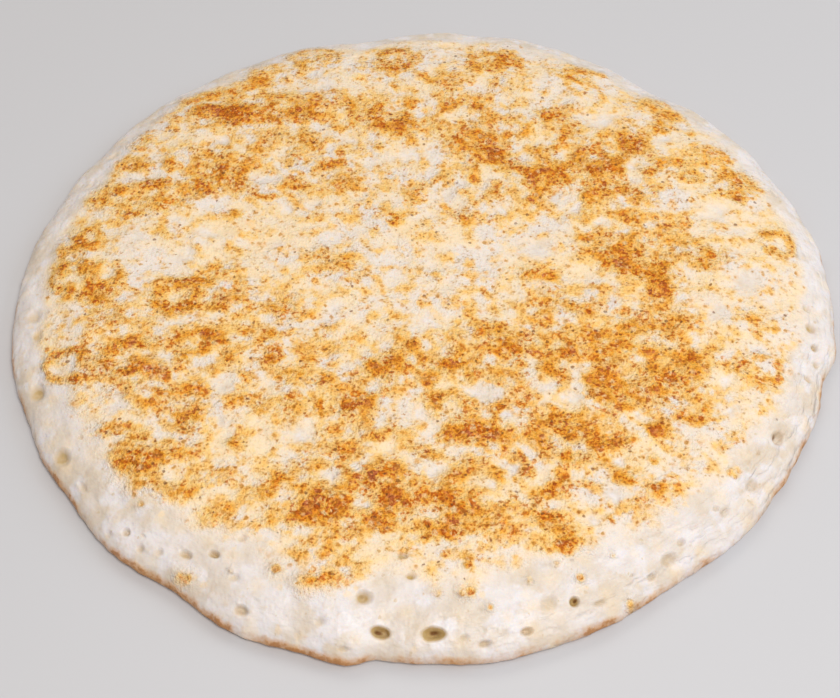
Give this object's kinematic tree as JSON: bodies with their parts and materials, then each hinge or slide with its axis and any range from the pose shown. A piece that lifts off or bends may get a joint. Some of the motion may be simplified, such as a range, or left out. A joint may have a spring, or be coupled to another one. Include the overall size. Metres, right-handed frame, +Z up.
{
  "type": "uttapam",
  "caption": "Thick round griddled bread of fermented batter, with a browned top, a pale crowned edge with open pores, and a flat underside.",
  "frame": {"origin": "middle of the footprint, on the flat underside that the bread rests on", "axes": "+Z up through the thickness, -Y towards the side with the largest open pores, which faces the viewer, +X to the viewer's right"},
  "size_m": [0.1666, 0.1654, 0.0087],
  "materials": {
    "griddled_batter": "cream steamed batter with a moist soft sheen, speckled tan to brown where it touched the griddle"
  },
  "bodies": {
    "root": {"uttapam": "griddled_batter"}
  },
  "joints": []
}
